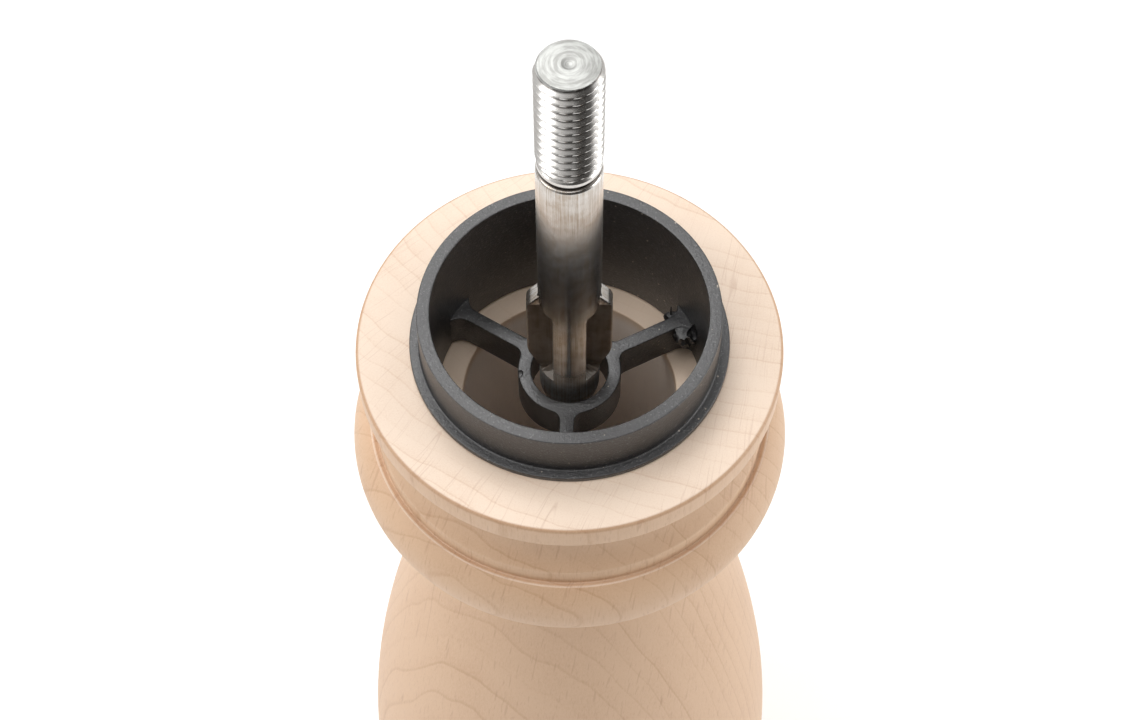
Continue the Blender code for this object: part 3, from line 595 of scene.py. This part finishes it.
def plasticFinish(name, colour, dusty):
    g = Finish(name, IOR=1.8)
    place = g.place()
    x, y, z = g.split(place)
    spark = g.noise(place, 2.4, 3, 0.7)
    grit = g.noise(place, 4.6, 2, 0.6)
    patch = g.noise(place, 0.25, 3, 0.6)
    lighter = tuple(c * 1.8 + 0.004 for c in colour[:3]) + (1.0,)
    shade = g.mix(g.ease(spark * 0.7 + patch * 0.4, 0.42, 0.72), colour, lighter)
    # the tips of the spark texture catch the light
    tips = g.ease(grit * 0.6 + spark * 0.4, 0.56, 0.66)
    shade = g.mix(tips * 0.7, shade, tone(112, 111, 112))
    if dusty:
        # stray grains of dust cling to the wall, most of them on the right
        cell = {"Vector": place, "Scale": 1.15, "Randomness": 1.0}
        spot = g.node("ShaderNodeTexVoronoi", values=cell)
        pick = g.split(g.node("ShaderNodeTexVoronoi", values=cell, output="Color"))[0]
        size = g.ease(pick, 0.6, 1.0) * (0.06 + g.ease(x, -18.0, 20.0) * 0.09)
        dust = (1 - g.ease(spot - size, -0.02, 0.03)) * g.ease(pick, 0.6, 0.64)
        shade = g.mix(dust * 0.8, shade, tone(176, 164, 150))
    g.surface("Base Color", shade)
    g.surface("Roughness", 0.28 + patch * 0.12 + grit * 0.08)
    g.surface("Normal", g.bump(spark * 0.75 + grit * 0.35, 0.12))
    return g.material


shaftValues = {
    "columns": 240,
    "earBunching": 0.55,           # share of the columns' spacing moved towards the ears
    "threadPitch": 1.25,
    "threadDepth": 0.68,
    "threadLength": 15.7,
    "crestShare": 0.07,
    "rootShare": 0.86,
    "threadRelief": 1.7,
    "reliefDepth": 0.5,
    "collarDrop": 0.95,            # plain collar between the relief and the first turn
    "collarInset": 0.16,
    "threadRows": 16,
    "shoulderChamfer": 0.5,
    "endChamfer": 0.8,
    "endRadius": 3.5,
    "domeRise": 0.16,
    "dimpleRadius": 0.9,
    "dimpleDepth": 0.16,
    "spindleStep": 1.0,
    "spindleTaper": 2.8,
    "taperAboveHub": -1.6,
    "seatStep": 0.5,
    "seatFlat": 0.6,
    "clipGroove": 0.6,
    "earThickness": 2.3,
    "earLength": 16.5,
    "earBottomSlope": 3.9,
    "earTopSlope": 1.9,
    "earAboveHub": 2.6,
    "pinchStart": 2.16,
    "earRow": 0.16,
    "earRound": 0.6,
    "upsetHeight": 1.3,
    "upsetThickness": 0.9,
    "endPale": tone(186, 187, 184),
    "endDeep": tone(152, 152, 149),
}


def roundedLeast(first, second, reach):
    # the smaller of two values, with the corner where they cross rounded off
    overlap = max(0.0, reach - abs(first - second)) / reach
    return min(first, second) - overlap**2 * reach / 4


def threadShare(turn):
    # depth below the crest at one point of the thread, as a share
    ridge = abs(2 * (turn % 1.0) - 1)
    crest = shaftValues["crestShare"]
    root = shaftValues["rootShare"]
    return min(1.0, max(0.0, (ridge - crest) / (root - crest)))


def shaftRings():
    v = shaftValues
    full = shaftHigh.y
    top = shaftHigh.z
    spindle = full - v["spindleStep"]
    seat = spindle - v["seatStep"]
    groove = full - v["reliefDepth"]
    collar = full - v["collarInset"]
    threadTop = top - v["domeRise"]
    threadBottom = top - v["endChamfer"] - v["threadLength"]
    relief = threadBottom - v["threadRelief"]
    spokeTop = bushLow.z + bushValues["spokeHeight"]
    earBottom = spokeTop + v["earAboveHub"]
    earTop = earBottom + v["earLength"]
    taperTop = spokeTop + v["taperAboveHub"]
    seatTop = spanOf("burr_carrier")[1].z + 0.3
    clipLow, clipHigh = spanOf("shaft_clip")
    span = shaftHigh.x
    half = v["earThickness"] / 2
    count = v["columns"]
    steady = [2 * math.pi * i / count for i in range(count)]
    angles = [t - v["earBunching"] * math.sin(2 * t) / 2 for t in steady]

    def plain(radius):
        return lambda angle: radius

    def flatted(radius):
        return lambda angle: min(radius, (seat - v["seatFlat"]) / max(1e-6, abs(math.sin(angle))))

    def eared(height):
        rising = full - 0.3 + (span - full + 0.3) * (height - earBottom) / v["earBottomSlope"]
        falling = full + (span - full) * (earTop - height) / v["earTopSlope"]
        outward = roundedLeast(roundedLeast(rising, span, v["earRound"]), falling, v["earRound"])
        pinch = v["pinchStart"] + 2 * max(0.0, height - earTop + (span + 1.0 - v["pinchStart"]) / 2)

        # metal pushed up at the lower ends of the pressed flats
        upset = max(0.0, 1 - (height - earBottom) / v["upsetHeight"])

        def radiusAt(angle):
            cos = max(1e-6, abs(math.cos(angle)))
            sin = max(1e-6, abs(math.sin(angle)))
            spot = Vector((math.cos(angle) * 9, math.sin(angle) * 9, height * 2.2))
            thick = half + v["upsetThickness"] * upset**2 * (0.9 + noise.noise(spot))
            return max(min(full, pinch / cos), min(thick / sin, outward / cos))

        return radiusAt

    def threaded(height):
        runOut = min(1.0, max(0.0, (height - threadBottom) / (0.6 * v["threadPitch"])))
        chamfer = full - max(0.0, height - (threadTop - v["endChamfer"])) * 0.62

        def radiusAt(angle):
            turn = (height - threadBottom) / v["threadPitch"] - angle / (2 * math.pi)
            crest = collar - 0.2 + (full - collar + 0.2) * runOut
            cut = full - v["threadDepth"] * threadShare(turn)
            return min(crest, cut, chamfer)

        return radiusAt

    def ramp(low, high, first, second, steps):
        for i in range(steps + 1):
            share = i / steps
            rows.append((low + (high - low) * share, plain(first + (second - first) * share)))

    rows = [
        (shaftLow.z, flatted(seat - 0.5)),
        (shaftLow.z + 0.5, flatted(seat)),
        (seatTop, flatted(seat)),
        (seatTop, plain(spindle - 0.15)),
        (seatTop + 0.15, plain(spindle)),
        (clipLow.z - 0.3, plain(spindle)),
        (clipLow.z - 0.3, plain(spindle - v["clipGroove"])),
        (clipHigh.z + 0.3, plain(spindle - v["clipGroove"])),
        (clipHigh.z + 0.3, plain(spindle)),
    ]
    for i in range(9):
        share = i / 8
        swell = math.sqrt(1 - (1 - share) ** 2)
        height = taperTop + v["spindleTaper"] * (share - 1)
        rows.append((height, plain(spindle + (full - spindle) * swell)))
    ramp(taperTop + 0.2, earBottom, full, full, 3)
    earRows = int(v["earLength"] / v["earRow"])
    for i in range(earRows + 1):
        height = earBottom + (earTop - earBottom) * i / earRows
        rows.append((height, eared(height)))
    ramp(earTop + 0.2, relief - v["shoulderChamfer"] - 0.1, full, full, 6)
    for i in range(9):
        share = i / 8
        inset = (full - groove) * (1 - math.sqrt(1 - share**2))
        rows.append((relief - v["shoulderChamfer"] * (1 - share), plain(full - inset)))
    collarLow = threadBottom - v["collarDrop"]
    rows.append((collarLow - 0.1, plain(groove)))
    ramp(collarLow, collarLow + 0.12, collar - 0.12, collar, 2)
    ramp(threadBottom - 0.35, threadBottom - 0.15, collar, collar - 0.2, 2)
    threadRows = int((threadTop - threadBottom) / v["threadPitch"] * v["threadRows"])
    for i in range(threadRows + 1):
        height = threadBottom + (threadTop - threadBottom) * i / threadRows
        rows.append((height, threaded(height)))
    # the end face: a slight dome with fine turning steps, then the centre dimple
    endRadius = v["endRadius"]
    domeSteps = 14
    for i in range(domeSteps + 1):
        share = i / domeSteps
        radius = endRadius + (v["dimpleRadius"] - endRadius) * share
        step = 0.004 if i % 2 and i < domeSteps else 0.0
        rise = v["domeRise"] * (1 - (1 - share) ** 2)
        rows.append((threadTop + rise - step, plain(radius)))
    for i in range(1, 9):
        share = i / 8
        drop = v["dimpleDepth"] * share**0.85
        rows.append((top - drop, plain(v["dimpleRadius"] * (1 - share) + 0.04 * share)))
    rings = []
    for height, radiusAt in rows:
        ring = []
        for angle in angles:
            radius = radiusAt(angle)
            ring.append((radius * math.cos(angle), radius * math.sin(angle), height))
        rings.append(ring)
    return rings


def shaftFinish():
    v = shaftValues
    g = Finish("drawn_steel", Metallic=1.0)
    place = g.place()
    x, y, z = g.split(place)
    around = g.math("ARCTAN2", y, x) * shaftHigh.y
    radius = (x * x + y * y) ** 0.5
    streak = g.noise(g.vector(around * 5.0, z * 0.09, 0.0), detail=3, roughness=0.65)
    scratch = g.noise(g.vector(around * 14.0, z * 0.35, 4.0), detail=1)
    smudge = g.noise(place, 0.5, 4, 0.6)
    bright = tone(216, 214, 211)
    dull = tone(176, 163, 148)
    onEnd = g.ease(z, shaftHigh.z - 0.55, shaftHigh.z - 0.25)
    threadLow = shaftHigh.z - v["endChamfer"] - v["threadLength"] - v["threadRelief"]
    inThread = g.ease(z, threadLow - 0.1, threadLow + 0.1)
    handled = (1 - onEnd) * (1 - inThread * 0.8)
    colour = g.mix(g.ease(streak * 0.6 + smudge * 0.5, 0.4, 0.75) * handled, bright, dull)

    # the pressed flats beside the ears are darker and stained
    spokeTop = bushLow.z + bushValues["spokeHeight"]
    earBottom = spokeTop + v["earAboveHub"]
    earTop = earBottom + v["earLength"]
    nearHub = 1 - g.ease(z, earBottom, earBottom + 2.5)
    inEars = g.ease(z, earBottom - 0.2, earBottom + 0.2)
    inEars = inEars * (1 - g.ease(z, earTop - 1.7, earTop - 1.5))
    pressed = inEars * g.ease(abs(x), v["pinchStart"] - 0.1, v["pinchStart"] + 0.15)
    pressed = pressed * (1 - g.ease(abs(x), shaftHigh.x - 0.25, shaftHigh.x - 0.05) * 0.7)
    colour = g.mix(pressed * (0.6 + smudge * 0.4), colour, tone(112, 98, 84))

    # rolled thread: the relief groove is painted dark as painted shade, the thread's root gets light
    # stains and is then painted dark as painted shade
    reliefTop = threadLow + v["threadRelief"] - v["collarDrop"]
    reliefShade = g.ease(z, threadLow - 0.12, threadLow - 0.02)
    reliefShade = reliefShade * (1 - g.ease(z, reliefTop - 0.1, reliefTop + 0.1))
    colour = g.mix(reliefShade * 0.8, colour, tone(92, 84, 78))
    stain = inThread * (1 - onEnd) * (1 - g.ease(radius, 3.3, 3.6)) * g.ease(smudge, 0.45, 0.6)
    colour = g.mix(stain * 0.6, colour, tone(120, 100, 84))
    # painted shade: the thread's root is darkened
    rootShade = inThread * (1 - onEnd) * (1 - g.ease(radius, 3.42, 3.62))
    colour = g.mix(rootShade * 0.8, colour, tone(58, 53, 50))
    circle = g.noise(g.vector(radius * 2.0, x * 0.35, y * 0.35), detail=3, roughness=0.65)
    colour = g.mix(onEnd, colour, g.mix(g.ease(circle, 0.35, 0.65), v["endPale"], v["endDeep"]))
    g.surface("Base Color", colour)
    worn = pressed * 0.22 + stain * 0.2
    g.surface("Roughness", 0.15 + streak * 0.14 + worn + onEnd * 0.3 + nearHub * 0.28)
    rings = g.math("SINE", radius * 21.0) * onEnd
    height = (streak * 0.5 + scratch * 0.3) * (1 - inThread) + rings * 0.04
    g.surface("Normal", g.bump(height, 0.012))
    return g.material


def driveShaft(finish):
    shaft = madePiece("drive_shaft_steel", skinned(shaftRings(), False), 30)
    shaft.data.materials.append(finish)
    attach(shaft, "shaft")
    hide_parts("drive_shaft")
    print("shaft: threaded and pinched,", len(shaft.data.polygons), "faces")


def metalFinish(name, bright, dull, roughness, wear):
    g = Finish(name, Metallic=1.0)
    place = g.place()
    x, y, z = g.split(place)
    radius = (x * x + y * y) ** 0.5
    turned = g.noise(g.vector(radius * 6.0, z * 6.0, 0.0), detail=3, roughness=0.6)
    smudge = g.noise(place, 0.4, 4, 0.6)
    fleck = g.noise(place, 6.0, 2, 0.5)
    g.surface("Base Color", g.mix(g.ease(smudge * 0.6 + turned * 0.5, 0.4, 0.75), bright, dull))
    g.surface("Roughness", roughness + smudge * wear + fleck * 0.06)
    g.surface("Normal", g.bump(turned * 0.6 + fleck * 0.3, 0.012))
    return g.material


def carriedOver():
    steel = metalFinish("turned_steel", tone(206, 204, 200), tone(165, 161, 156), 0.2, 0.16)
    burrSteel = metalFinish("burr_steel", tone(150, 149, 150), tone(104, 102, 102), 0.3, 0.2)
    brass = metalFinish("turned_brass", tone(226, 190, 118), tone(180, 140, 76), 0.2, 0.2)
    blackPlastic = plasticFinish("housing_black", tone(40, 40, 42), False)
    greyPlastic = plasticFinish("carrier_grey", tone(108, 109, 112), False)
    finishes = {
        "stainless_steel": steel,
        "burr_steel": burrSteel,
        "brass": brass,
        "black_plastic": blackPlastic,
        "grey_plastic": greyPlastic,
    }
    kept = 0
    for part in frame["record"]["subparts"]:
        node = nodes[part["node"]]
        if node.hide_render:
            continue
        node.data.materials.clear()
        node.data.materials.append(finishes[part["material_slot"]])
        kept += 1
    print("small pieces:", kept, "frame meshes given their finishes")


stageValues = {
    "floorSize": 6.0,
    "floorDrop": 0.0002,
    "floorTone": (0.88, 0.88, 0.88, 1.0),
    "floorGlow": 0.14,
    "skyTone": (1.0, 0.995, 0.99, 1.0),
    "skyDim": (0.1, 0.095, 0.09, 1.0),
    "skyDark": (0.07, 0.066, 0.062, 1.0),
    "skyStrength": 0.7,
    "dimBearing": 18.0,
    "darkBearing": 50.0,
    "darkElevation": 57.0,
    "cameraLens": 64.73,
    "cameraPitch": 58.56,
    "cameraSide": 0.32,
    "cameraFront": 142.43,
    "cameraAbove": 228.12,
}

# compass bearing from the front (-Y) turning to the right, elevation, distance, size, brightness
lightValues = {
    "backTop": {
        "bearing": 199.0,
        "elevation": 57.0,
        "distance": 1.0,
        "size": (0.5, 0.4),
        "glow": 6.2,
    },
    "overhead": {
        "bearing": 0.0,
        "elevation": 84.0,
        "distance": 1.1,
        "size": (0.6, 0.6),
        "glow": 2.0,
    },
    "leftKey": {
        "bearing": -80.0,
        "elevation": 45.0,
        "distance": 1.0,
        "size": (0.5, 0.8),
        "glow": 2.6,
    },
    "rightFill": {
        "bearing": 88.0,
        "elevation": 14.0,
        "distance": 1.0,
        "size": (0.55, 0.8),
        "glow": 3.0,
    },
}


def compass(bearing, elevation):
    turn = math.radians(bearing)
    lift = math.radians(elevation)
    flat = math.cos(lift)
    return Vector((math.sin(turn) * flat, -math.cos(turn) * flat, math.sin(lift)))


def floorAndSky():
    v = stageValues
    edit = bmesh.new()
    bmesh.ops.create_grid(edit, x_segments=2, y_segments=2, size=v["floorSize"] / 2 / mm)
    bmesh.ops.translate(edit, verts=edit.verts, vec=(0, 0, woodLow.z - v["floorDrop"] / mm))
    floor = madePiece("floor", edit)
    g = Finish("floor_white", Base_Color=v["floorTone"], Roughness=0.9)
    g.surface("Emission Color", (1.0, 1.0, 1.0, 1.0))
    g.surface("Emission Strength", v["floorGlow"])
    floor.data.materials.append(g.material)

    world = bpy.data.worlds.new("studio")
    bpy.context.scene.world = world
    world.use_nodes = True
    sky = Graph(world.node_tree)
    background = world.node_tree.nodes["Background"]
    direction = sky.node("ShaderNodeTexCoord", output="Generated")

    def towards(bearing, elevation, edge, heart):
        values = {0: direction, 1: compass(bearing, elevation)}
        facing = sky.node("ShaderNodeVectorMath", {"operation": "DOT_PRODUCT"}, values, 1)
        return sky.ease(facing, edge, heart)

    # the room is dimmer low in front, with one dark patch for the metal to show
    dim = sky.mix(towards(v["dimBearing"], 4.0, 0.3, 0.88), v["skyTone"], v["skyDim"])
    dark = towards(v["darkBearing"], v["darkElevation"], 0.925, 0.945)
    sky.feed(background.inputs["Color"], sky.mix(dark, dim, v["skyDark"]))
    sky.feed(background.inputs["Strength"], v["skyStrength"])
    print("stage: floor and sky ready")


def softbox(name, bearing, elevation, distance, size, glow):
    # an area light that faces the rim, as bright as its glow says
    away = compass(bearing, elevation)
    light = bpy.data.lights.new(name, "AREA")
    light.shape = "RECTANGLE"
    light.size, light.size_y = size
    light.energy = glow * math.pi * size[0] * size[1]
    box = bpy.data.objects.new(name, light)
    box.location = Vector((0, 0, rimTop * mm)) + away * distance
    box.rotation_mode = "QUATERNION"
    box.rotation_quaternion = away.to_track_quat("Z", "Y")
    bpy.context.collection.objects.link(box)


def cameraAndLights():
    v = stageValues
    for name, values in lightValues.items():
        softbox(name, **values)
    camera = bpy.data.cameras.new("camera")
    camera.lens = v["cameraLens"]
    camera.sensor_width = 36.0
    camera.clip_start = 0.01
    view = bpy.data.objects.new("camera", camera)
    view.location = Vector((v["cameraSide"], -v["cameraFront"], rimTop + v["cameraAbove"])) * mm
    view.rotation_euler = (math.radians(90 - v["cameraPitch"]), 0, 0)
    bpy.context.collection.objects.link(view)
    bpy.context.scene.camera = view
    bpy.context.scene.view_settings.view_transform = "Standard"
    print("stage: lights and camera ready")


woodBody(beechFinish())
fillBush(plasticFinish("bush_black", tone(24, 23, 24), True))
driveShaft(shaftFinish())
carriedOver()
floorAndSky()
cameraAndLights()
